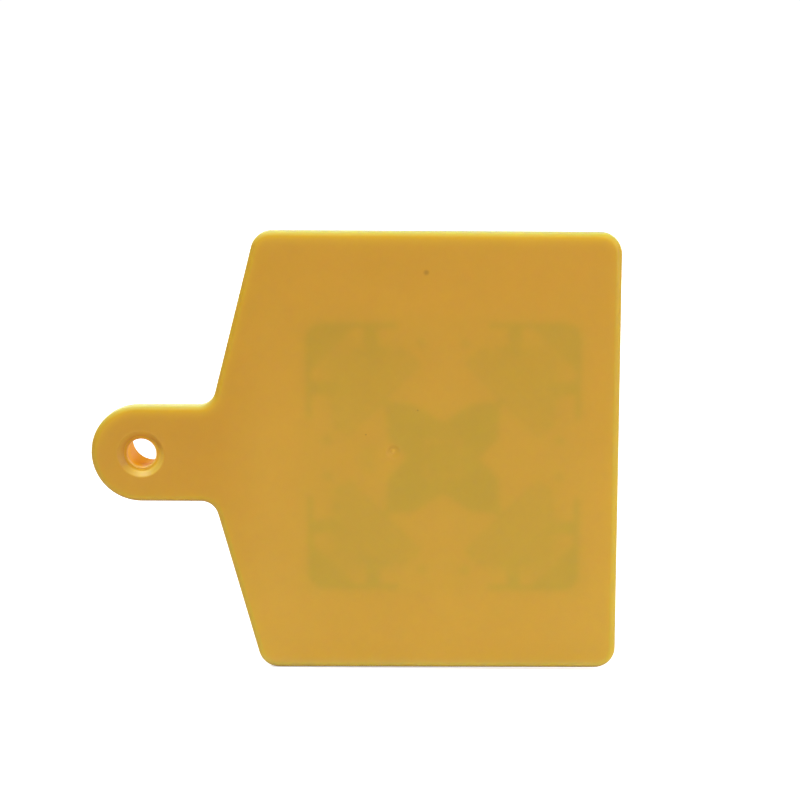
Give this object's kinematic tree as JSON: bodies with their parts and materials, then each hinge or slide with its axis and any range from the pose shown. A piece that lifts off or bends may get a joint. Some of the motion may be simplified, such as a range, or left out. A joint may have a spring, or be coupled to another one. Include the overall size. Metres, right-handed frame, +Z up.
{
  "type": "radio-frequency identification ear tag panel",
  "caption": "Flat translucent yellow livestock ear tag panel with a round-ended neck, a stud hole backed by an open socket boss, and a foil antenna inlay moulded inside.",
  "frame": {"origin": "on the axis of the stud hole in the neck, in the seam plane between the ear-side moulding and the outer moulding", "axes": "+X from the stud hole along the panel to its far edge, +Z up across the panel, -Y out of the flat ear-side face that the picture shows, +Y along the socket boss"},
  "size_m": [0.0854, 0.0118, 0.0724],
  "materials": {
    "yellow_tpu": "translucent yellow flexible polyurethane, fine satin moulding texture",
    "ring_plastic": "hard natural nylon, amber in the tag's own light",
    "clear_film": "clear polyester film",
    "clear_adhesive": "clear acrylic adhesive",
    "etched_foil": "etched aluminium foil",
    "silicon": "polished bare silicon die",
    "bump_metal": "gold contact bumps",
    "chip_glue": "cured conductive adhesive"
  },
  "bodies": {
    "root": {"front_shell": "yellow_tpu", "rear_shell": "yellow_tpu", "retaining_ring": "ring_plastic", "cover_film": "clear_film", "laminating_adhesive": "clear_adhesive", "antenna_foil": "etched_foil", "foil_dots": "etched_foil", "rfid_chip": "silicon", "chip_bumps": "bump_metal", "chip_adhesive": "chip_glue", "carrier_film": "clear_film", "tack_adhesive": "clear_adhesive"}
  },
  "joints": []
}
